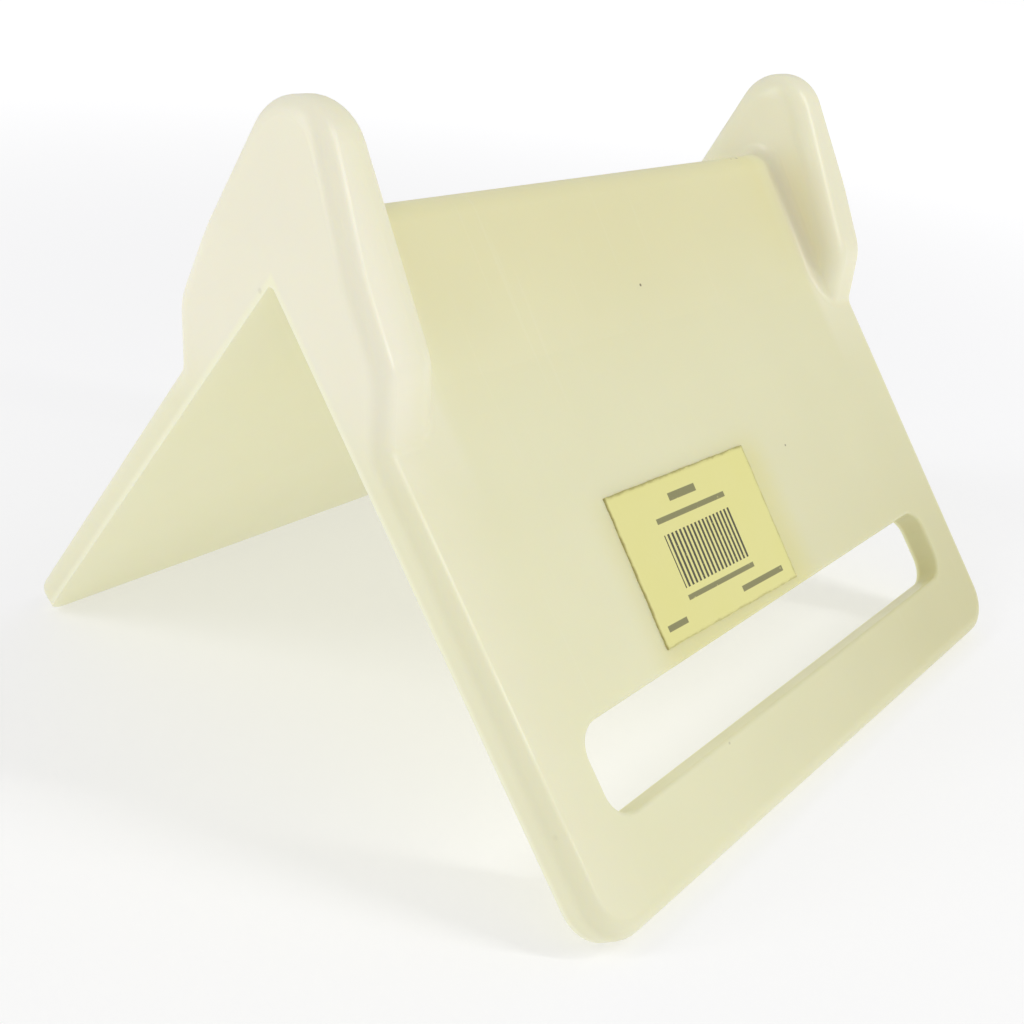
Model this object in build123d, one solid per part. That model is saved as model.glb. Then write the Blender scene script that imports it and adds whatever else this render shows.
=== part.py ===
from build123d import *
import math
import os

# Corner protector for a load strap: one moulded piece of natural polyethylene.
# Two flat legs meet at a rounded ridge, the saddle that the strap lies on. A strap guide
# stands at each end of the ridge, and the front leg has a long slot for the strap.
# X runs along the ridge, the legs spread along Y, and the protector stands on its two
# leg ends at Z = 0. Heights of the saddle and the guides are above the inner apex.

# Overall form
ridge_length = 175.0
opening_angle = 78.6
leg_length = 128.0
leg_wall = 6.7
front_leg_corner_radius = 10.0
back_leg_corner_radius = 4.5
outer_edge_radius = 3.5
inner_apex_radius = 1.2

# Saddle between the two strap guides
saddle_height = 10.6
saddle_radius = 5.0
saddle_flank_length = 26.0

# Strap slot in the front leg
slot_length = 144.5
slot_width = 18.0
slot_corner_radius = 5.6
slot_end_margin = 18.5
slot_edge_radius = 0.8

# Strap guides: thick arched plates, well rounded towards the strap. The end face of each
# leans in above the ridge. The half width is taken at the level of the inner apex.
guide_thickness = 15.0
guide_height = 29.8
guide_half_width = 22.2
guide_side_angle = 28.0
guide_shoulder_width = 27.0
guide_shoulder_radius = 12.0
guide_lean_angle = 8.0
guide_lean_start = 4.0
guide_lean_radius = 40.0
guide_strap_edge_radius = 5.5
guide_foot_blend_radius = 3.0

half_angle = math.radians(opening_angle / 2)
half_length = ridge_length / 2
spread = math.sin(half_angle)
drop = math.cos(half_angle)
apex_z = leg_length * drop


def on_leg(along, out, side):
    """A point of the YZ section: distance down the inner face, and outwards from it."""
    return (side * (along * spread + out * drop), apex_z - along * drop + out * spread)


def face_yz(points):
    """A face across the ridge, from points in the YZ plane."""
    return make_face(Plane.YZ * Polyline(*points, close=True))


def corner(face, y, z):
    """The corner of a face across the ridge that lies nearest to a point."""
    return min(face.vertices(), key=lambda v: math.hypot(v.Y - y, v.Z - z))


# Section of the legs and the saddle. The flanks of the saddle are a little steeper than
# the legs, so the wall is thickest under the strap.
flank_y, flank_z = on_leg(saddle_flank_length, leg_wall, 1)
flank_angle = half_angle
for _ in range(20):
    crest_z = apex_z + saddle_height + saddle_radius * (1 / math.sin(flank_angle) - 1)
    flank_angle = math.atan2(flank_y, crest_z - flank_z)

leg_section = face_yz(
    [
        (0, apex_z),
        on_leg(leg_length, 0, 1),
        on_leg(leg_length, leg_wall, 1),
        (flank_y, flank_z),
        (0, crest_z),
        (-flank_y, flank_z),
        on_leg(leg_length, leg_wall, -1),
        on_leg(leg_length, 0, -1),
    ]
)
leg_section = fillet(corner(leg_section, 0, crest_z), saddle_radius)
leg_section = fillet(corner(leg_section, 0, apex_z), inner_apex_radius)

# Outline of a strap guide: arched top, sloping sides and upright shoulders. Its root lies
# in the middle of the legs' wall.
side_slope = math.tan(math.radians(guide_side_angle))
peak = guide_half_width / side_slope
arch_radius = (peak - guide_height) / (1 / math.sin(math.radians(guide_side_angle)) - 1)
shoulder_z = apex_z - (guide_shoulder_width - guide_half_width) / side_slope
root_z = apex_z + leg_wall / 2 / spread
foot_z = root_z - guide_shoulder_width * drop / spread
guide_outline = face_yz(
    [
        (0, root_z),
        (guide_shoulder_width, foot_z),
        (guide_shoulder_width, shoulder_z),
        (0, apex_z + peak),
        (-guide_shoulder_width, shoulder_z),
        (-guide_shoulder_width, foot_z),
    ]
)
guide_outline = fillet(corner(guide_outline, 0, apex_z + peak), arch_radius)
shoulders = [corner(guide_outline, side * guide_shoulder_width, shoulder_z) for side in (-1, 1)]
guide_outline = fillet(shoulders, guide_shoulder_radius)


def along_leg(edge):
    """How far down the inner face of its leg the middle of an edge lies."""
    middle = edge.center()
    return abs(middle.Y) * spread - (middle.Z - apex_z) * drop


def stand_off(edge):
    """How far the middle of an edge stands outwards from the inner face of its leg."""
    middle = edge.center()
    return abs(middle.Y) * drop + (middle.Z - apex_z) * spread


# Strap guide at the end of the ridge, rounded towards the strap
guide = extrude(Pos(-half_length, 0, 0) * guide_outline, amount=guide_thickness, dir=(1, 0, 0))
strap_rim = guide.faces().sort_by(Axis.X)[-1].edges()
guide = fillet(strap_rim.filter_by(lambda edge: stand_off(edge) > leg_wall), guide_strap_edge_radius)

# One half of the legs, from the end of the ridge to its middle
legs = extrude(Pos(-half_length, 0, 0) * leg_section, amount=half_length, dir=(1, 0, 0))
for side, radius in ((-1, front_leg_corner_radius), (1, back_leg_corner_radius)):
    leg_corner = legs.edges().filter_by(
        lambda edge: abs(edge.center().X + half_length) < 0.01
        and abs(along_leg(edge) - leg_length) < 0.01
        and edge.center().Y * side > 0
    )
    legs = fillet(leg_corner, radius)

# The guide blends into the legs round its foot
half = legs + guide
half = fillet(new_edges(legs, guide, combined=half), guide_foot_blend_radius)

# Profile along the ridge that leans the end face of the guide in, with its crease eased
lean_z = apex_z + guide_lean_start
lean_run = guide_height * math.tan(math.radians(guide_lean_angle))
lean_profile = make_face(
    Plane.XZ
    * Polyline(
        (-half_length - 10, lean_z - 10),
        (-half_length, lean_z - 10),
        (-half_length, lean_z),
        (-half_length + lean_run, lean_z + guide_height),
        (-half_length - 10, lean_z + guide_height),
        close=True,
    )
)
crease = min(lean_profile.vertices(), key=lambda v: math.hypot(v.X + half_length, v.Z - lean_z))
lean_profile = fillet(crease, guide_lean_radius)
half = half - extrude(lean_profile, amount=guide_shoulder_width, both=True)

# Outer rim: up the sides of the legs, over the guide, and along the ends of the legs. The
# inner rim stays sharp, so each leg stands on one straight edge.
end_faces = half.faces().filter_by(lambda face: face.normal_at().X < -0.95)
end_reach = leg_length - max(front_leg_corner_radius, back_leg_corner_radius)
rim = half.edges().filter_by(
    lambda edge: (
        sum(edge in face.edges() for face in end_faces) == 1
        or (along_leg(edge) > end_reach and edge.center().X < -0.01)
    )
    and stand_off(edge) > leg_wall - 0.01
)
half = fillet(rim, outer_edge_radius)
body = half + mirror(half, Plane.YZ)

# Strap slot through the front leg, with both of its rims eased
slot_centre = leg_length - slot_end_margin - slot_width / 2
front_leg = Plane(origin=(0, 0, apex_z), x_dir=(1, 0, 0), z_dir=(0, -drop, spread))
slot = extrude(
    front_leg * Pos(0, -slot_centre) * RectangleRounded(slot_length, slot_width, slot_corner_radius),
    amount=2 * leg_wall,
    both=True,
)
slotted = body - slot
body = fillet(new_edges(body, slot, combined=slotted), slot_edge_radius)

os.makedirs("parts", exist_ok=True)
export_step(body, "parts/corner_protector.step")
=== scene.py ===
"""Corner protector for a load strap, in natural polyethylene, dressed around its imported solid."""

import math

import bmesh
import bpy
from mathutils import Matrix, Vector


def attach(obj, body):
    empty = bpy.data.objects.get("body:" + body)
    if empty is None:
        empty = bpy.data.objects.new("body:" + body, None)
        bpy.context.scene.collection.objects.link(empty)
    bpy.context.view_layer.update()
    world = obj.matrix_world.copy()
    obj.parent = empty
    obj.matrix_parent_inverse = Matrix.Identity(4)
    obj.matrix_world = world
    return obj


bl_info = {
    "name": "Corner protector",
    "version": (1, 0, 0),
    "blender": (4, 5, 0),
    "location": "3D View > Sidebar > Protector",
    "description": "Dresses the moulded corner protector, adds its paper label and sets the stage",
    "category": "Object",
}

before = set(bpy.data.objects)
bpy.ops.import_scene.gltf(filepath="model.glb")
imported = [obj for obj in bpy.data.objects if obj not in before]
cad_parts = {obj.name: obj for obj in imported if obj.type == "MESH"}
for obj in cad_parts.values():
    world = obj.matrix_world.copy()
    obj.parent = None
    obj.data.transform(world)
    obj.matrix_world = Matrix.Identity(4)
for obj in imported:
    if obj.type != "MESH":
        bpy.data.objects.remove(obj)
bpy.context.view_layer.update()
BODY_NODE = "corner_protector"
MM = 0.001


def shade(red, green, blue):
    """A colour of eight-bit screen values as the linear values that Blender keeps."""
    return tuple(
        part / 12.92 if part <= 0.04045 else ((part + 0.055) / 1.055) ** 2.4
        for part in (red / 255, green / 255, blue / 255)
    )


def opaque(tone):
    """A colour with full alpha, as a colour socket takes it."""
    return (*tone, 1.0)


def length(name, description, millimetres):
    """A length property with its default in millimetres."""
    return bpy.props.FloatProperty(
        name=name, description=description, default=millimetres * MM, unit="LENGTH", precision=5
    )


def angle(name, description, degrees):
    """An angle property with its default in degrees."""
    return bpy.props.FloatProperty(
        name=name, description=description, default=math.radians(degrees), subtype="ANGLE"
    )


def amount(name, description, value, most=1.0):
    """A plain number between nought and its most."""
    return bpy.props.FloatProperty(
        name=name, description=description, default=value, min=0.0, max=most, subtype="FACTOR"
    )


def colour(name, description, red, green, blue):
    """A colour property with its default in eight-bit screen values."""
    return bpy.props.FloatVectorProperty(
        name=name,
        description=description,
        default=shade(red, green, blue),
        min=0.0,
        max=1.0,
        size=3,
        subtype="COLOR",
    )


def several(name, description, values, **kind):
    """A property of several numbers."""
    return bpy.props.FloatVectorProperty(
        name=name, description=description, default=values, size=len(values), precision=5, **kind
    )


class ProtectorBodySettings(bpy.types.PropertyGroup):
    """Form and finish of the moulded body"""

    opening: angle("Opening", "Angle between the two legs", 78.6)
    apex_height: length("Apex height", "Height of the inner apex above the leg ends", 99.05)
    leg_wall: length("Leg wall", "Wall of the legs", 6.7)
    guide_face: length("Guide face", "Where the strap side of a guide stands along the ridge", 72.5)

    natural: colour("Natural", "Colour of the polyethylene in a thin wall", 233, 231, 194)
    deep: colour("Deep", "Colour where the wall is thick under the strap", 228, 222, 171)
    # Darker, more olive colour of the far end of the slotted leg, most of all at its foot
    darkened: colour("Aged", "Colour of the older-looking far end", 204, 199, 148)
    # Painted light: the paler colour painted on the guides and on the near end of the legs
    pale: colour("Pale", "Colour of the guides and of the near end of the legs", 243, 239, 219)
    stain: colour("Stain", "Tint of the adhesive round the label", 224, 217, 136)
    cloud_light: colour("Cloud light", "Colour of the lights in the cloudy plastic", 255, 255, 232)
    # Painted light: the paler colour painted on the inner faces of the legs, inside the V
    corner_painted_shade: colour("Rub", "Tint that the strap has rubbed in beside the far guide", 212, 190, 128)
    # Painted shade: the warm tint of the corner at the foot of the far guide
    inside: colour("Inside", "Colour of the inner faces of the legs", 247, 245, 213)
    scratch: colour("Scratch", "Colour of fine scratches", 250, 249, 232)
    dirt: colour("Dirt", "Colour of specks and grime", 92, 78, 48)

    deep_share: amount("Deep share", "How far the thick wall takes the deep colour", 0.75)
    # How far the far end turns darker, and how much of that is at the foot alone
    darkened_share: amount("Aged share", "How far the far foot takes the aged colour", 0.8)
    foot_share: amount("Foot share", "How much of the ageing is at the foot alone", 0.65)
    # Shares of the painted light on the guides, the near end face and the near edges of the legs
    guide_share: amount("Guide share", "How far the guides take the pale colour", 0.52)
    end_share: amount("End share", "How much further the near end face takes it", 0.38)
    edge_share: amount("Edge share", "How far the near edges of the legs take it", 0.30)
    stain_share: amount("Stain share", "How far the adhesive shows", 0.55)
    cloud_share: amount("Cloud share", "How far the lights of the slow clouds show", 0.06)
    fine_cloud_share: amount("Fine cloud share", "How far the darks of the fine clouds show", 0.035)
    # How far the painted shade at the foot of the far guide shows
    corner_painted_shade_share: amount("Rub share", "How far the rubbed tint shows", 0.14)
    # How far the painted light on the inner faces shows
    inside_painted_light_share: amount("Inside share", "How far the inner faces take their colour", 0.9)
    scratch_share: amount("Scratch share", "How far the scratches show", 0.06)
    fleck_share: amount("Fleck share", "How far the dirty flecks show", 0.35)

    roughness: amount("Roughness", "Mean roughness of the moulded skin", 0.33)
    translucency: amount("Translucency", "Share of light that passes under the skin", 0.3)
    light_depth: length("Light depth", "How far light spreads under the skin", 8.0)


class ProtectorLabelSettings(bpy.types.PropertyGroup):
    """Size, place and colours of the paper label"""

    width: length("Width", "Width of the label along the ridge", 50.8)
    height: length("Height", "Height of the label down the leg", 32.0)
    thickness: length("Thickness", "Thickness of paper and adhesive", 0.14)
    along: length("Along", "Middle of the label along the ridge", -15.2)
    down: length("Down", "Middle of the label down the leg from the inner apex", 72.7)
    turn: angle("Turn", "How far the label is stuck on askew", 1.9)
    lift: length("Lift", "How far the loose corner stands off", 0.15)

    paper: colour("Paper", "Colour of the aged paper", 233, 228, 148)
    paper_light: colour("Paper light", "Colour of the paper where it has aged less", 233, 228, 164)
    edge: colour("Edge", "Colour of the browned edges", 138, 122, 48)
    ink: colour("Ink", "Colour of the plain bars", 34, 36, 34)
    dirt: colour("Dirt", "Colour of dirt on the paper", 120, 98, 54)

    bar_pitch: length("Bar pitch", "Distance from one plain bar to the next", 1.4)
    bar_share: amount("Bar share", "Share of the pitch that a bar covers", 0.5)
    paper_light_share: amount("Paper light share", "How far the lighter paper shows", 0.22)
    edge_share: amount("Edge share", "How far the edges are browned", 0.6)
    strip_share: amount("Strip share", "How dark the strips are beside the bars", 0.75)
    ink_share: amount("Ink share", "How far the ink covers the paper", 0.93)
    fleck_share: amount("Fleck share", "How far the dirty flecks show", 0.45)


class ProtectorStageSettings(bpy.types.PropertyGroup):
    """Floor, light and camera"""

    floor_reach: length("Floor reach", "Half the width of the floor", 6000.0)
    floor_colour: colour("Floor colour", "Colour of the pale floor", 208, 208, 209)
    floor_cloud: colour("Floor cloud", "Colour of the floor's faint clouds", 204, 204, 204)
    floor_cloud_share: amount("Floor cloud share", "How far the faint clouds show", 0.05)
    floor_glow: amount("Floor glow", "Light that the pale floor gives off from below", 0.64, 3.0)
    glow_near: colour("Glow near", "Colour of that light beside the object", 206, 206, 207)
    glow_far: colour("Glow far", "Colour of that light far from the object", 255, 255, 255)
    sky: amount("Sky", "Strength of the even light from all round", 0.60, 3.0)
    key: amount("Key", "Power of the narrow light on the slotted side, in watts", 3.6, 50.0)
    rim: amount("Rim", "Power of the narrow light behind the near end, in watts", 3.0, 50.0)

    lens: length("Lens", "Focal length on a 36 mm wide sensor", 43.904)
    camera_place: several(
        "Camera place",
        "Where the camera stands",
        (-0.22473, -0.16324, 0.15915),
        subtype="TRANSLATION",
        unit="LENGTH",
    )
    camera_turn: several(
        "Camera turn",
        "How the camera is turned about X, Y and Z",
        tuple(math.radians(part) for part in (61.750, -6.067, -51.883)),
        subtype="EULER",
        unit="ROTATION",
    )
    camera_shift: several(
        "Camera shift", "How far the frame is off the middle of the sensor", (-0.0538, 0.0686)
    )


def node(tree, kind, inputs=None, **settings):
    """A new node, with its settings and with its inputs set or linked."""
    made = tree.nodes.new(kind)
    for name, value in settings.items():
        setattr(made, name, value)
    set_inputs(tree, made, inputs or {})
    return made


def place(tree, group, inputs):
    """The outputs of one use of a node group, with its own values."""
    made = tree.nodes.new("ShaderNodeGroup")
    made.node_tree = group
    set_inputs(tree, made, inputs)
    return made.outputs


def set_inputs(tree, made, inputs):
    """Link the inputs that are given as sockets, and set the others."""
    for name, value in inputs.items():
        if isinstance(value, bpy.types.NodeSocket):
            tree.links.new(value, made.inputs[name])
        else:
            made.inputs[name].default_value = value


def maths(tree, operation, first, second=0.0, third=0.0):
    """The result of one sum on sockets or numbers."""
    made = node(tree, "ShaderNodeMath", {0: first, 1: second, 2: third}, operation=operation)
    return made.outputs[0]


def product(tree, *masks):
    """Several masks multiplied together."""
    result = masks[0]
    for mask in masks[1:]:
        result = maths(tree, "MULTIPLY", result, mask)
    return result


def fade(tree, value, start, end):
    """A smooth mask that is 0 at start and 1 at end."""
    made = node(
        tree,
        "ShaderNodeMapRange",
        {"Value": value, "From Min": start, "From Max": end},
        interpolation_type="SMOOTHSTEP",
    )
    return made.outputs["Result"]


def span(tree, value, reach, start=0.0):
    """A smooth mask over a reach in millimetres, from a start in metres."""
    return fade(tree, value, start + reach[0] * MM, start + reach[1] * MM)


def near(tree, value, middle, reach, soft):
    """A mask that is 1 within reach of middle and fades out over soft."""
    away = maths(tree, "ABSOLUTE", maths(tree, "SUBTRACT", value, middle))
    return fade(tree, away, reach + soft, reach)


def blend(tree, factor, first, second):
    """Two colours mixed by a mask."""
    made = node(tree, "ShaderNodeMix", {0: factor, 6: first, 7: second}, data_type="RGBA")
    return made.outputs[2]


def tint(tree, paint, over, share, *masks):
    """Paint with a share of another colour laid over it, where all the masks are."""
    factor = maths(tree, "MULTIPLY", product(tree, *masks), share)
    return blend(tree, factor, paint, opaque(over))


def stretched(tree, vector, scale, turn=(0.0, 0.0, 0.0)):
    """Texture coordinates scaled and turned."""
    return node(
        tree, "ShaderNodeMapping", {"Vector": vector, "Rotation": turn, "Scale": scale}
    ).outputs["Vector"]


def noise(tree, vector, scale, detail=2.0, roughness=0.5):
    """Smooth noise from 0 to 1."""
    return node(
        tree,
        "ShaderNodeTexNoise",
        {"Vector": vector, "Scale": scale, "Detail": detail, "Roughness": roughness},
    ).outputs["Fac"]


def new_group(name, inputs, outputs, fill):
    """A shader node group with named sockets, filled by a function."""
    tree = bpy.data.node_groups.new(name, "ShaderNodeTree")
    for label, kind, default in inputs:
        socket = tree.interface.new_socket(name=label, in_out="INPUT", socket_type=kind)
        if default is not None:
            socket.default_value = default
    for label, kind in outputs:
        tree.interface.new_socket(name=label, in_out="OUTPUT", socket_type=kind)
    start = tree.nodes.new("NodeGroupInput")
    end = tree.nodes.new("NodeGroupOutput")
    fill(tree, start.outputs, end)
    return tree


def cloudiness():
    """Slow cloudy variation, as in translucent plastic and old paper."""
    dark, light = 0.28, 0.72

    def fill(tree, given, end):
        slow = noise(tree, given["Vector"], given["Scale"], 2.0, 0.55)
        tree.links.new(fade(tree, slow, dark, light), end.inputs["Cloud"])

    return new_group(
        "cloudiness",
        [("Vector", "NodeSocketVector", None), ("Scale", "NodeSocketFloat", 14.0)],
        [("Cloud", "NodeSocketFloat")],
        fill,
    )


def grime():
    """Small irregular dirty flecks, gathered in patches."""
    patch_start, patch_full = 0.52, 0.75
    fleck_limit, spread_effect, fleck_edge = 0.82, 0.2, 0.05

    def fill(tree, given, end):
        patches = noise(tree, given["Vector"], given["Patch Scale"], 2.0)
        patches = fade(tree, patches, patch_start, patch_full)
        flecks = noise(tree, given["Vector"], given["Fleck Scale"], 3.0, 0.65)
        eased = maths(tree, "MULTIPLY", given["Spread"], spread_effect)
        limit = maths(tree, "SUBTRACT", fleck_limit, eased)
        sharp = fade(tree, flecks, limit, maths(tree, "ADD", limit, fleck_edge))
        tree.links.new(product(tree, patches, sharp), end.inputs["Grime"])

    return new_group(
        "grime",
        [
            ("Vector", "NodeSocketVector", None),
            ("Patch Scale", "NodeSocketFloat", 25.0),
            ("Fleck Scale", "NodeSocketFloat", 700.0),
            ("Spread", "NodeSocketFloat", 0.3),
        ],
        [("Grime", "NodeSocketFloat")],
        fill,
    )


def rubbing():
    """Fine scratches across the ridge, the way a strap is pulled over it."""
    straight_grain = (1100.0, 16.0, 16.0)
    slanted_grain = (700.0, 30.0, 30.0)
    slant = (0.0, 0.0, math.radians(24))
    patch_scale = 34.0

    def fill(tree, given, end):
        straight = noise(tree, stretched(tree, given["Vector"], straight_grain), 1.0, 1.0)
        slanted = noise(tree, stretched(tree, given["Vector"], slanted_grain, slant), 1.0, 1.0)
        straight = fade(tree, straight, 0.66, 0.74)
        slanted = fade(tree, slanted, 0.70, 0.76)
        lines = maths(tree, "MAXIMUM", straight, slanted)
        patches = fade(tree, noise(tree, given["Vector"], patch_scale, 2.0), 0.42, 0.66)
        tree.links.new(product(tree, lines, patches), end.inputs["Scratches"])

    return new_group(
        "rubbing",
        [("Vector", "NodeSocketVector", None)],
        [("Scratches", "NodeSocketFloat")],
        fill,
    )


def skin_height():
    """Height of a surface: slight waves with a fine grain on top."""

    def fill(tree, given, end):
        waves = noise(tree, given["Vector"], given["Wave Scale"], 0.0)
        grain = noise(tree, given["Vector"], given["Grain Scale"], 0.0)
        height = maths(tree, "MULTIPLY_ADD", grain, given["Grain Share"], waves)
        tree.links.new(height, end.inputs["Height"])

    return new_group(
        "skin_height",
        [
            ("Vector", "NodeSocketVector", None),
            ("Wave Scale", "NodeSocketFloat", 45.0),
            ("Grain Scale", "NodeSocketFloat", 1400.0),
            ("Grain Share", "NodeSocketFloat", 0.1),
        ],
        [("Height", "NodeSocketFloat")],
        fill,
    )


def effect(name):
    """A shared effect, made the first time that it is asked for."""
    makers = {
        "cloudiness": cloudiness,
        "grime": grime,
        "rubbing": rubbing,
        "skin_height": skin_height,
    }
    return bpy.data.node_groups.get(name) or makers[name]()


def start_material(name):
    """An empty node material with its shader, and the object's coordinates."""
    material = bpy.data.materials.new(name)
    material.use_nodes = True
    tree = material.node_tree
    tree.nodes.clear()
    shader = node(tree, "ShaderNodeBsdfPrincipled")
    output = node(tree, "ShaderNodeOutputMaterial", {"Surface": shader.outputs["BSDF"]})
    output.location = (300, 0)
    spot = node(tree, "ShaderNodeTexCoord").outputs["Object"]
    return material, tree, shader, spot


def uneven_skin(tree, shader, spot, strength, depth, sizes):
    """Make a surface slightly wavy and grainy, by bump alone."""
    height = place(tree, effect("skin_height"), {"Vector": spot, **sizes})["Height"]
    bump = node(
        tree, "ShaderNodeBump", {"Strength": strength, "Distance": depth, "Height": height}
    )
    tree.links.new(bump.outputs["Normal"], shader.inputs["Normal"])


# Where the tints of the body begin and where they are full, in millimetres: along the ridge
# and across it from the middle, or up from the inner apex or from the leg ends.
SLOTTED_SIDE_ACROSS = (10.0, -50.0)
THICK_WALL_UP = (-30.0, 6.0)
FAR_END_ALONG = (-60.0, 95.0)
FOOT_HEIGHT = (60.0, 10.0)
GUIDE_ALONG = (-5.0, -1.0)
GUIDE_UP = (-40.0, -12.0)
END_FACE_ALONG = (-77.0, -83.0)
NEAR_EDGE_ALONG = (-66.0, -87.0)
# The painted shade at the foot of the far guide: where it begins below the inner apex and where it
# ends above it
PAINTED_SHADE_FROM_UP = (-22.0, -6.0)
PAINTED_SHADE_TO_UP = (16.0, 6.0)
INNER_FACE_OUT = (1.6, 0.4)

# Single marks on the body: place and radius in millimetres, and strength.
BODY_MARKS = (
    ((-0.1, -16.5, 90.3), 0.34, 0.85),
    ((27.6, -44.4, 55.4), 0.30, 0.6),
    ((-35.5, -75.1, 17.9), 0.32, 0.25),
    ((4.2, -45.3, 54.3), 0.30, 0.7),
    ((-87.4, 2.8, 97.1), 0.55, 0.12),
    ((-87.3, -71.5, 22.0), 1.1, 0.35),
    ((72.6, -8.2, 127.2), 0.7, 0.3),
    ((60.2, -0.3, 109.7), 0.45, 0.7),
    ((57.5, -0.4, 109.7), 0.35, 0.5),
)
MARK_FAINT, MARK_FULL = 1.3, 0.5


def tints_and_painted_light(tree, settings, axes, slotted_side):
    """The plastic's own deeper colour over the thick wall, a darker far end, and painted light that
    makes the guides and the near ends paler.
    """
    apex, guide = settings.apex_height, settings.guide_face

    # The wall is thick under the strap and thins down the legs
    between = near(tree, axes["X"], 0.0, guide - 10 * MM, 8 * MM)
    thick = span(tree, axes["Z"], THICK_WALL_UP, apex)
    paint = opaque(settings.natural)
    paint = tint(tree, paint, settings.deep, settings.deep_share, between, thick)

    # The far end of the slotted leg is darker and more olive, most of all towards its foot
    far = span(tree, axes["X"], FAR_END_ALONG)
    low = span(tree, axes["Z"], FOOT_HEIGHT)
    foot = maths(tree, "MULTIPLY_ADD", low, settings.foot_share, 1 - settings.foot_share)
    paint = tint(tree, paint, settings.darkened, settings.darkened_share, far, slotted_side, foot)

    # Painted light: the guides are painted paler, most of all the near end face, and so are the
    # near edges of the legs, where the light falls on them
    outside = span(tree, maths(tree, "ABSOLUTE", axes["X"]), GUIDE_ALONG, guide)
    above = span(tree, axes["Z"], GUIDE_UP, apex)
    end_face = span(tree, axes["X"], END_FACE_ALONG)
    end_face = maths(tree, "MULTIPLY_ADD", end_face, settings.end_share, settings.guide_share)
    near_edge = span(tree, axes["X"], NEAR_EDGE_ALONG)
    near_edge = maths(tree, "MULTIPLY", near_edge, settings.edge_share)
    pale = maths(tree, "MAXIMUM", product(tree, outside, above, end_face), near_edge)
    return blend(tree, pale, paint, opaque(settings.pale))


def label_stain(tree, settings, label, axes, slotted_side, paint):
    """Adhesive has stained the leg a little round the label, most of all below it."""
    half = settings.opening / 2
    from_apex = maths(tree, "SUBTRACT", settings.apex_height, axes["Z"])
    sideways = maths(tree, "MULTIPLY", axes["Y"], -math.sin(half))
    down = maths(tree, "MULTIPLY_ADD", from_apex, math.cos(half), sideways)
    beside = near(tree, axes["X"], label.along + 2 * MM, label.width / 2 - 2 * MM, 12 * MM)
    below = near(tree, down, label.down + 4 * MM, label.height / 2 - 2 * MM, 11 * MM)
    return tint(tree, paint, settings.stain, settings.stain_share, beside, below, slotted_side)


def painted_shade_corner(tree, settings, axes, paint):
    """Painted shade: a warm darker tint in the concave corner at the foot of the far guide, where
    shade falls.
    """
    corner = near(tree, axes["X"], settings.guide_face - 1 * MM, 1 * MM, 5.5 * MM)
    across = near(tree, axes["Y"], -12 * MM, 8 * MM, 12 * MM)
    above = span(tree, axes["Z"], PAINTED_SHADE_FROM_UP, settings.apex_height)
    below = span(tree, axes["Z"], PAINTED_SHADE_TO_UP, settings.apex_height)
    return tint(tree, paint, settings.corner_painted_shade, settings.corner_painted_shade_share, corner, across, above, below)


def painted_light_inner_faces(tree, settings, axes, paint):
    """Painted light: the inner faces of the legs, in the shade inside the V, are painted paler than
    the outer ones.
    """
    half = settings.opening / 2
    up = maths(tree, "SUBTRACT", axes["Z"], settings.apex_height)
    sideways = maths(tree, "MULTIPLY", maths(tree, "ABSOLUTE", axes["Y"]), math.cos(half))
    out = maths(tree, "MULTIPLY_ADD", up, math.sin(half), sideways)
    inner = span(tree, out, INNER_FACE_OUT)
    return tint(tree, paint, settings.inside, settings.inside_painted_light_share, inner)


def body_dirt(tree, settings, spot):
    """A mask of the dirty flecks and the single marks on the body."""
    flecks = place(
        tree, effect("grime"), {"Vector": spot, "Patch Scale": 30.0, "Spread": 0.25}
    )["Grime"]
    marks = maths(tree, "MULTIPLY", flecks, settings.fleck_share)
    for centre, radius, strength in BODY_MARKS:
        away = node(
            tree,
            "ShaderNodeVectorMath",
            {0: spot, 1: tuple(part * MM for part in centre)},
            operation="DISTANCE",
        ).outputs["Value"]
        mark = fade(tree, away, radius * MARK_FAINT * MM, radius * MARK_FULL * MM)
        marks = maths(tree, "MAXIMUM", marks, maths(tree, "MULTIPLY", mark, strength))
    return marks


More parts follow.
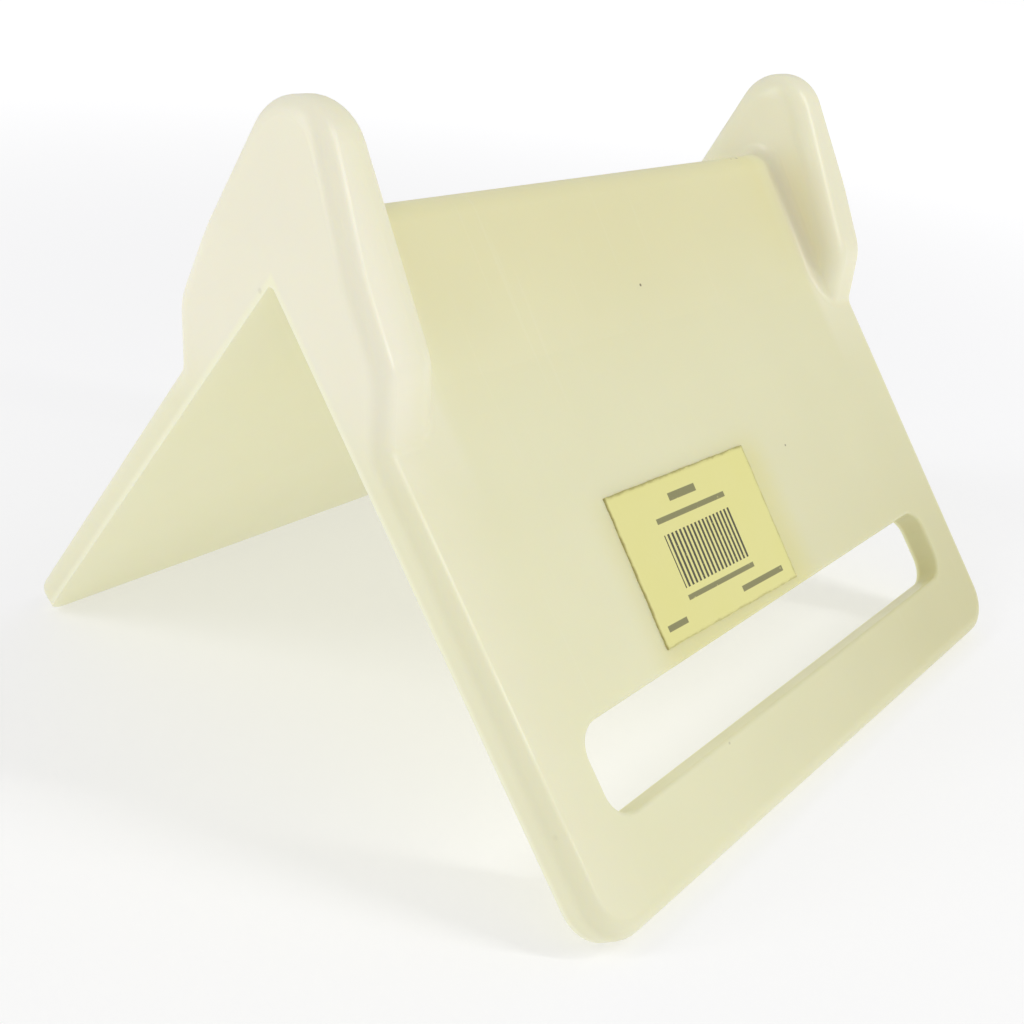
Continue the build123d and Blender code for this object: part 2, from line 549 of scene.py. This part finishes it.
def polyethylene(settings, label):
    """Natural polyethylene: satin, cloudy, deeper in colour where the wall is thick."""
    material, tree, shader, spot = start_material("natural_polyethylene")
    axes = node(tree, "ShaderNodeSeparateXYZ", {0: spot}).outputs
    slotted_side = span(tree, axes["Y"], SLOTTED_SIDE_ACROSS)
    cloud = place(tree, effect("cloudiness"), {"Vector": spot, "Scale": 16.0})["Cloud"]
    fine_cloud = place(tree, effect("cloudiness"), {"Vector": spot, "Scale": 60.0})["Cloud"]
    scratches = place(tree, effect("rubbing"), {"Vector": spot})["Scratches"]

    # The thick wall's deeper colour, the darker far end, and painted light on the guides and the
    # near ends
    paint = tints_and_painted_light(tree, settings, axes, slotted_side)
    paint = label_stain(tree, settings, label, axes, slotted_side, paint)
    paint = tint(tree, paint, settings.cloud_light, settings.cloud_share, cloud)
    paint = tint(tree, paint, settings.deep, settings.fine_cloud_share, fine_cloud)
    # Painted shade in the corner at the foot of the far guide
    paint = painted_shade_corner(tree, settings, axes, paint)
    # Painted light on the inner faces of the legs
    paint = painted_light_inner_faces(tree, settings, axes, paint)
    paint = tint(tree, paint, settings.scratch, settings.scratch_share, scratches)
    paint = blend(tree, body_dirt(tree, settings, spot), paint, opaque(settings.dirt))
    tree.links.new(paint, shader.inputs["Base Color"])

    # Satin skin, duller where it is cloudy and a little more where it is scratched
    cloud_dulling, scratch_dulling = 0.10, 0.12
    gloss = settings.roughness - cloud_dulling / 2
    gloss = maths(tree, "MULTIPLY_ADD", fine_cloud, cloud_dulling, gloss)
    gloss = maths(tree, "MULTIPLY_ADD", scratches, scratch_dulling, gloss)
    tree.links.new(gloss, shader.inputs["Roughness"])
    skin = {"Wave Scale": 55.0, "Grain Scale": 1500.0, "Grain Share": 0.05}
    uneven_skin(tree, shader, spot, 0.15, 0.5 * MM, skin)

    # Light spreads under the skin, red furthest
    shader.inputs["IOR"].default_value = 1.51
    shader.inputs["Subsurface Weight"].default_value = settings.translucency
    shader.inputs["Subsurface Radius"].default_value = (1.0, 0.86, 0.42)
    shader.inputs["Subsurface Scale"].default_value = settings.light_depth
    return material


# Plain strips and the block of plain bars on the label: middle and size in millimetres.
LABEL_STRIPS = (
    ((-1.5, 11.4), (9.6, 1.6)),
    ((-0.5, 7.6), (25.0, 1.1)),
    ((-0.5, -8.9), (25.0, 1.0)),
    ((-19.4, -12.6), (6.6, 1.2)),
    ((13.2, -12.6), (16.4, 1.2)),
)
LABEL_BARS = ((-0.5, -1.2), (24.2, 11.4))
INK_EDGE = 0.08


def rectangle(tree, across, up, middle, size):
    """A mask of one plain printed rectangle, in millimetres on the label."""
    return product(
        tree,
        near(tree, across, middle[0] * MM, size[0] / 2 * MM, INK_EDGE * MM),
        near(tree, up, middle[1] * MM, size[1] / 2 * MM, INK_EDGE * MM),
    )


def browned_edges(tree, settings, spot, across, up):
    """A mask of the label's ragged brown edges, strongest at the near end and along the top."""
    half_width, half_height = settings.width / 2, settings.height / 2
    ragged = maths(tree, "SUBTRACT", noise(tree, spot, 420.0, 4.0), 0.5)
    ragged = maths(tree, "MULTIPLY", ragged, 1.2 * MM)
    across = maths(tree, "ADD", across, ragged)
    up = maths(tree, "ADD", up, ragged)
    left = fade(tree, across, -half_width + 0.7 * MM, -half_width)
    right = fade(tree, across, half_width - 0.5 * MM, half_width)
    bottom = fade(tree, up, -half_height + 0.5 * MM, -half_height)
    top = fade(tree, up, half_height - 0.6 * MM, half_height)
    strong = maths(tree, "MAXIMUM", left, maths(tree, "MULTIPLY", top, 0.8))
    faint = maths(tree, "MULTIPLY", maths(tree, "MAXIMUM", right, bottom), 0.45)
    return maths(tree, "MAXIMUM", strong, faint)


def plain_print(tree, settings, spot, across, up):
    """A mask of the plain bars and strips, with small worn gaps."""
    block = rectangle(tree, across, up, *LABEL_BARS)
    shifted = maths(tree, "ADD", across, 1.0)
    step = maths(tree, "FRACT", maths(tree, "DIVIDE", shifted, settings.bar_pitch))
    ink = product(tree, block, maths(tree, "LESS_THAN", step, settings.bar_share))
    for middle, size in LABEL_STRIPS:
        strip = rectangle(tree, across, up, middle, size)
        strip = maths(tree, "MULTIPLY", strip, settings.strip_share)
        ink = maths(tree, "MAXIMUM", ink, strip)
    worn = fade(tree, noise(tree, spot, 900.0, 3.0), 0.22, 0.34)
    return product(tree, ink, worn)


def aged_paper(settings):
    """Yellowed label paper with browned edges and a block of plain bars."""
    material, tree, shader, spot = start_material("aged_label_paper")
    axes = node(tree, "ShaderNodeSeparateXYZ", {0: spot}).outputs
    across, up = axes["X"], axes["Y"]
    cloud = place(tree, effect("cloudiness"), {"Vector": spot, "Scale": 70.0})["Cloud"]
    edges = browned_edges(tree, settings, spot, across, up)
    ink = plain_print(tree, settings, spot, across, up)
    flecks = place(
        tree,
        effect("grime"),
        {"Vector": spot, "Patch Scale": 90.0, "Fleck Scale": 1300.0, "Spread": 0.6},
    )["Grime"]

    paint = opaque(settings.paper)
    paint = tint(tree, paint, settings.paper_light, settings.paper_light_share, cloud)
    paint = tint(tree, paint, settings.edge, settings.edge_share, edges)
    paint = tint(tree, paint, settings.ink, settings.ink_share, ink)
    paint = tint(tree, paint, settings.dirt, settings.fleck_share, flecks)
    tree.links.new(paint, shader.inputs["Base Color"])

    glossy, cloud_dulling = 0.42, 0.12
    gloss = maths(tree, "MULTIPLY_ADD", cloud, cloud_dulling, glossy)
    tree.links.new(gloss, shader.inputs["Roughness"])
    fibres = {"Wave Scale": 120.0, "Grain Scale": 2600.0, "Grain Share": 0.25}
    uneven_skin(tree, shader, spot, 0.30, 0.25 * MM, fibres)
    return material


# Where the floor's glow begins to turn to its far colour and where it is there, in millimetres.
GLOW_AWAY = (200.0, 1200.0)


def pale_floor(settings):
    """Matt pale floor with the faintest cloudiness, and a glow that softens its shadows."""
    material, tree, shader, spot = start_material("pale_floor")
    cloud = place(tree, effect("cloudiness"), {"Vector": spot, "Scale": 3.0})["Cloud"]
    paint = opaque(settings.floor_colour)
    paint = tint(tree, paint, settings.floor_cloud, settings.floor_cloud_share, cloud)
    tree.links.new(paint, shader.inputs["Base Color"])
    shader.inputs["Roughness"].default_value = 0.8
    shader.inputs["Specular IOR Level"].default_value = 0.2

    # The glow isn't sampled as a lamp, which would leave patches on the body
    away = node(tree, "ShaderNodeVectorMath", {0: spot}, operation="LENGTH").outputs["Value"]
    far = span(tree, away, GLOW_AWAY)
    glow = blend(tree, far, opaque(settings.glow_near), opaque(settings.glow_far))
    tree.links.new(glow, shader.inputs["Emission Color"])
    shader.inputs["Emission Strength"].default_value = settings.floor_glow
    material.cycles.emission_sampling = "NONE"
    return material


def outer_leg_frame(body, label):
    """Where the middle of the label lies on the slotted leg, with the axes of the label."""
    half = body.opening / 2
    down = Vector((0.0, -math.sin(half), -math.cos(half)))
    out = Vector((0.0, -math.cos(half), math.sin(half)))
    apex = Vector((label.along, 0.0, body.apex_height))
    right = math.cos(label.turn) * Vector((1.0, 0.0, 0.0)) + math.sin(label.turn) * down
    placed = Matrix((right, out.cross(right), out)).transposed().to_4x4()
    placed.translation = apex + label.down * down + body.leg_wall * out
    return placed


def label_point(label, u, v, on_side, on_end):
    """The lower and the upper surface of the label at u along it and v up it, from -0.5 to 0.5."""
    corner_width, corner_height = 0.16, 0.22
    ripple_height, side_nibble, end_notch = 0.03 * MM, 0.10 * MM, 0.08 * MM
    loose = 1.0 - math.hypot((u + 0.5) / corner_width, (v + 0.5) / corner_height)
    ripple = 0.5 + 0.5 * math.sin(14.0 * u + 3.0) * math.sin(11.0 * v + 1.0)
    height = label.lift * max(0.0, loose) ** 2 + ripple_height * ripple
    x = u * label.width
    y = v * label.height
    if on_side:
        x += side_nibble * math.sin(37.0 * v + 2.0) * math.sin(61.0 * v)
    if on_end:
        y += end_notch * math.sin(41.0 * u + 1.0) * math.sin(73.0 * u)
    return (x, y, max(0.0, height - ripple_height)), (x, y, height + label.thickness)


def label_mesh(label):
    """Thin paper sheet of many small faces, with one corner that has come loose."""
    columns, rows = 50, 32
    mesh = bpy.data.meshes.new("paper_label")
    sheet = bmesh.new()
    bottom, top = {}, {}
    for row in range(rows + 1):
        for column in range(columns + 1):
            u, v = column / columns - 0.5, row / rows - 0.5
            lower, upper = label_point(label, u, v, column in (0, columns), row in (0, rows))
            bottom[row, column] = sheet.verts.new(lower)
            top[row, column] = sheet.verts.new(upper)
    for row in range(rows):
        for column in range(columns):
            ring = ((row, column), (row, column + 1), (row + 1, column + 1), (row + 1, column))
            sheet.faces.new([top[corner] for corner in ring])
            sheet.faces.new([bottom[corner] for corner in reversed(ring)])
    rim = [(0, column) for column in range(columns)]
    rim += [(row, columns) for row in range(rows)]
    rim += [(rows, column) for column in range(columns, 0, -1)]
    rim += [(row, 0) for row in range(rows, 0, -1)]
    for here, following in zip(rim, rim[1:] + rim[:1]):
        sheet.faces.new((bottom[here], bottom[following], top[following], top[here]))
    bmesh.ops.recalc_face_normals(sheet, faces=sheet.faces)
    sheet.to_mesh(mesh)
    sheet.free()
    for polygon in mesh.polygons:
        polygon.use_smooth = abs(polygon.normal.z) > 0.5
    return mesh


def floor_mesh(reach):
    """Round floor of rings that are close together near the middle."""
    spokes = 64
    ring_shares = (0.05, 0.12, 0.3, 0.6, 1.0)
    turns = [2 * math.pi * spoke / spokes for spoke in range(spokes)]
    mesh = bpy.data.meshes.new("pale_floor")
    disc = bmesh.new()
    centre = disc.verts.new((0.0, 0.0, 0.0))
    rings = [
        [
            disc.verts.new((reach * share * math.cos(turn), reach * share * math.sin(turn), 0.0))
            for turn in turns
        ]
        for share in ring_shares
    ]
    for spoke in range(spokes):
        following = (spoke + 1) % spokes
        disc.faces.new((centre, rings[0][spoke], rings[0][following]))
        for inner, outer in zip(rings, rings[1:]):
            disc.faces.new((inner[spoke], outer[spoke], outer[following], inner[following]))
    disc.to_mesh(mesh)
    disc.free()
    return mesh


def strip_light(name, toward, rise, distance, size, power):
    """A narrow upright area light, aimed at the middle of the object."""
    aim = Vector((0.0, 0.0, 0.06))
    flat = Vector((*toward, 0.0)).normalized()
    spot = aim + distance * (math.cos(rise) * flat + math.sin(rise) * Vector((0.0, 0.0, 1.0)))
    data = bpy.data.lights.new(name, "AREA")
    data.shape = "RECTANGLE"
    data.size, data.size_y = size
    data.energy = power
    lamp = bpy.data.objects.new(name, data)
    lamp.location = spot
    lamp.rotation_euler = (aim - spot).to_track_quat("-Z", "Y").to_euler()
    bpy.context.scene.collection.objects.link(lamp)


def even_sky(strength):
    """Even light from all round, that the camera sees as plain white."""
    world = bpy.data.worlds.new("even_white")
    world.use_nodes = True
    tree = world.node_tree
    sky = tree.nodes["Background"]
    sky.inputs["Color"].default_value = (1.0, 1.0, 1.0, 1.0)
    seen = node(tree, "ShaderNodeLightPath").outputs["Is Camera Ray"]
    light = maths(tree, "MULTIPLY_ADD", seen, 1.0 - strength, strength)
    tree.links.new(light, sky.inputs["Strength"])
    return world


def stage_camera(settings):
    """The camera at the photograph's viewing angle."""
    data = bpy.data.cameras.new("camera")
    data.sensor_width = 36.0
    data.lens = settings.lens / MM
    data.shift_x, data.shift_y = settings.camera_shift
    data.clip_start = 0.01
    camera = bpy.data.objects.new("camera", data)
    camera.location = settings.camera_place
    camera.rotation_euler = settings.camera_turn
    return camera


class PROTECTOR_OT_body(bpy.types.Operator):
    """Give the moulded body its polyethylene"""

    bl_idname = "protector.body"
    bl_label = "Dress the body"

    def execute(self, context):
        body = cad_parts.get(BODY_NODE)
        if body is None:
            raise RuntimeError("the frame has no node named " + BODY_NODE)
        material = polyethylene(context.scene.protector_body, context.scene.protector_label)
        if not body.material_slots:
            body.data.materials.append(material)
        for holder in body.material_slots:
            holder.material = material
        return {"FINISHED"}


class PROTECTOR_OT_label(bpy.types.Operator):
    """Stick the aged paper label on the slotted leg"""

    bl_idname = "protector.label"
    bl_label = "Add the label"

    def execute(self, context):
        settings = context.scene.protector_label
        label = bpy.data.objects.new("paper_label", label_mesh(settings))
        label.matrix_world = outer_leg_frame(context.scene.protector_body, settings)
        context.scene.collection.objects.link(label)
        label.data.materials.append(aged_paper(settings))
        context.view_layer.update()
        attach(label, "root")
        return {"FINISHED"}


class PROTECTOR_OT_stage(bpy.types.Operator):
    """Set up the pale floor, the soft light and the camera"""

    bl_idname = "protector.stage"
    bl_label = "Set the stage"

    def execute(self, context):
        scene = context.scene
        settings = scene.protector_stage
        floor = bpy.data.objects.new("pale_floor", floor_mesh(settings.floor_reach))
        floor.data.materials.append(pale_floor(settings))
        scene.collection.objects.link(floor)

        scene.world = even_sky(settings.sky)
        strip_light(
            "key_strip",
            toward=(0.49, -0.89),
            rise=math.radians(38),
            distance=1.1,
            size=(0.05, 1.0),
            power=settings.key,
        )
        strip_light(
            "rim_strip",
            toward=(-0.85, 0.53),
            rise=math.radians(30),
            distance=1.2,
            size=(0.14, 1.0),
            power=settings.rim,
        )

        camera = stage_camera(settings)
        scene.collection.objects.link(camera)
        scene.camera = camera
        scene.view_settings.view_transform = "Standard"
        return {"FINISHED"}


class PROTECTOR_PT_sidebar(bpy.types.Panel):
    """The steps that dress the corner protector, with their settings"""

    bl_idname = "PROTECTOR_PT_sidebar"
    bl_label = "Corner protector"
    bl_space_type = "VIEW_3D"
    bl_region_type = "UI"
    bl_category = "Protector"

    def draw(self, context):
        steps = (
            (PROTECTOR_OT_body, context.scene.protector_body),
            (PROTECTOR_OT_label, context.scene.protector_label),
            (PROTECTOR_OT_stage, context.scene.protector_stage),
        )
        for step, settings in steps:
            box = self.layout.box()
            for name in settings.__annotations__:
                box.prop(settings, name)
            box.operator(step.bl_idname)


CLASSES = (
    ProtectorBodySettings,
    ProtectorLabelSettings,
    ProtectorStageSettings,
    PROTECTOR_OT_body,
    PROTECTOR_OT_label,
    PROTECTOR_OT_stage,
    PROTECTOR_PT_sidebar,
)


def register():
    """Register the classes and hang the settings on the scene."""
    for entry in CLASSES:
        bpy.utils.register_class(entry)
    pointer = bpy.props.PointerProperty
    bpy.types.Scene.protector_body = pointer(type=ProtectorBodySettings)
    bpy.types.Scene.protector_label = pointer(type=ProtectorLabelSettings)
    bpy.types.Scene.protector_stage = pointer(type=ProtectorStageSettings)


def unregister():
    """Take the settings off the scene and unregister the classes."""
    del bpy.types.Scene.protector_stage
    del bpy.types.Scene.protector_label
    del bpy.types.Scene.protector_body
    for entry in reversed(CLASSES):
        bpy.utils.unregister_class(entry)


def main():
    """Dress the part and set the stage, in order."""
    register()
    bpy.ops.protector.body()
    bpy.ops.protector.label()
    bpy.ops.protector.stage()


if __name__ == "__main__":
    main()
